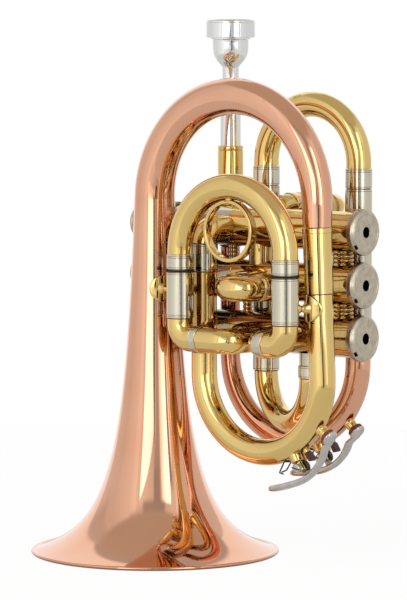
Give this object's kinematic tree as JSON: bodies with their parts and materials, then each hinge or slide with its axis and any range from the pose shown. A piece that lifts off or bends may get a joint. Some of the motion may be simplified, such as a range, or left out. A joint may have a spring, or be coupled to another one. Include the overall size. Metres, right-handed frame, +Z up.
{
  "type": "pocket trumpet",
  "caption": "Compact three-valve trumpet with a tightly wrapped brass tube, rose brass bell and top bow, valve slides, water keys and a removable mouthpiece, standing on its bell.",
  "frame": {"origin": "bottom centre of the bounding box, on the plane that the bell rim stands on", "axes": "+Z up along the bell axis towards the mouthpiece, +X along the valves towards their bottom caps, -Y to the player's left"},
  "size_m": [0.1744, 0.126, 0.2642],
  "materials": {
    "rose_brass": "polished and clear lacquered, copper-rich brass",
    "lacquered_brass": "polished yellow brass under clear lacquer",
    "nickel_silver": "polished nickel silver",
    "satin_nickel": "satin nickel plate",
    "silver_plate": "polished silver plate",
    "spring_steel": "drawn wire",
    "seal_rubber": "moulded",
    "cork": "ground cork"
  },
  "bodies": {
    "root": {"bell": "rose_brass", "bell_bow": "rose_brass", "leadpipe": "rose_brass", "branch_upper_tube": "lacquered_brass", "branch_bow": "lacquered_brass", "branch_elbow": "lacquered_brass", "valve_casing_1": "lacquered_brass", "valve_casing_2": "lacquered_brass", "valve_casing_3": "lacquered_brass", "valve_knuckle_1_2": "lacquered_brass", "valve_knuckle_2_3": "lacquered_brass", "casing_stay_1_2": "lacquered_brass", "casing_stay_2_3": "lacquered_brass", "third_slide_elbow_left": "lacquered_brass", "third_slide_elbow_right": "lacquered_brass", "mouthpiece_receiver": "lacquered_brass", "lower_bow": "lacquered_brass", "brace_bell_to_third_slide": "lacquered_brass", "brace_branch_to_third_slide": "lacquered_brass", "brace_branch_to_valve": "lacquered_brass", "water_key_saddle_1": "lacquered_brass", "water_key_saddle_2": "lacquered_brass", "branch_ferrule": "nickel_silver", "third_slide_outer_left": "nickel_silver", "third_slide_outer_right": "nickel_silver", "second_slide_outer_upper": "nickel_silver", "second_slide_outer_lower": "nickel_silver", "first_slide_outer_upper": "nickel_silver", "first_slide_outer_lower": "nickel_silver", "tuning_slide_outer_right": "nickel_silver", "tuning_slide_outer_left": "nickel_silver", "lower_bow_ferrule": "nickel_silver", "bottom_cap_1": "satin_nickel", "bottom_cap_2": "satin_nickel", "bottom_cap_3": "satin_nickel", "top_cap_1": "satin_nickel", "top_cap_2": "satin_nickel", "top_cap_3": "satin_nickel", "valve_spring_1": "spring_steel", "valve_spring_2": "spring_steel", "valve_spring_3": "spring_steel"},
    "piston_body_1": {"piston_1": "nickel_silver", "finger_button_1": "satin_nickel"},
    "piston_body_2": {"piston_2": "nickel_silver", "finger_button_2": "satin_nickel"},
    "piston_body_3": {"piston_3": "nickel_silver", "finger_button_3": "satin_nickel"},
    "third_slide": {"third_slide_crook": "lacquered_brass", "third_slide_finger_ring": "lacquered_brass", "third_slide_o_ring_left": "seal_rubber", "third_slide_o_ring_right": "seal_rubber"},
    "second_slide": {"second_slide_crook": "lacquered_brass"},
    "first_slide": {"first_slide_crook": "lacquered_brass"},
    "tuning_slide": {"tuning_slide_crook": "lacquered_brass"},
    "mouthpiece_body": {"mouthpiece": "silver_plate"},
    "water_key_1": {"water_key_lever_1": "silver_plate", "water_key_cork_1": "cork"},
    "water_key_2": {"water_key_lever_2": "silver_plate", "water_key_cork_2": "cork"}
  },
  "joints": [
    {"name": "valve_1_press", "type": "slide", "parent": "root", "child": "piston_body_1", "axis": [1, 0, 0], "range_m": [0, 0.016], "stiffness_N_per_m": 120, "springref_m": -0.012, "deforming": ["valve_spring_1"]},
    {"name": "valve_2_press", "type": "slide", "parent": "root", "child": "piston_body_2", "axis": [1, 0, 0], "range_m": [0, 0.016], "stiffness_N_per_m": 120, "springref_m": -0.012, "deforming": ["valve_spring_2"]},
    {"name": "valve_3_press", "type": "slide", "parent": "root", "child": "piston_body_3", "axis": [1, 0, 0], "range_m": [0, 0.016], "stiffness_N_per_m": 120, "springref_m": -0.012, "deforming": ["valve_spring_3"]},
    {"name": "third_slide_pull", "type": "slide", "parent": "root", "child": "third_slide", "axis": [0, 0, 1], "range_m": [0, 0.015]},
    {"name": "second_slide_pull", "type": "slide", "parent": "root", "child": "second_slide", "axis": [0, -1, 0], "range_m": [0, 0.012]},
    {"name": "first_slide_pull", "type": "slide", "parent": "root", "child": "first_slide", "axis": [0, 1, 0], "range_m": [0, 0.0055]},
    {"name": "tuning_slide_pull", "type": "slide", "parent": "root", "child": "tuning_slide", "axis": [0, 0, 1], "range_m": [0, 0.025]},
    {"name": "mouthpiece_lift", "type": "slide", "parent": "root", "child": "mouthpiece_body", "axis": [0, 0, 1], "range_m": [0, 0.025]},
    {"name": "water_key_1_turn", "type": "hinge", "parent": "root", "child": "water_key_1", "pos_m": [0.06725, -0.0015, 0.04992], "axis": [0, 1, 0], "range_deg": [0, 14], "stiffness_Nm_per_rad": 0.02, "springref_deg": -17.19},
    {"name": "water_key_2_turn", "type": "hinge", "parent": "root", "child": "water_key_2", "pos_m": [0.04876, 0.0401, 0.04932], "axis": [0, 1, 0], "range_deg": [0, 14], "stiffness_Nm_per_rad": 0.02, "springref_deg": -17.19}
  ]
}
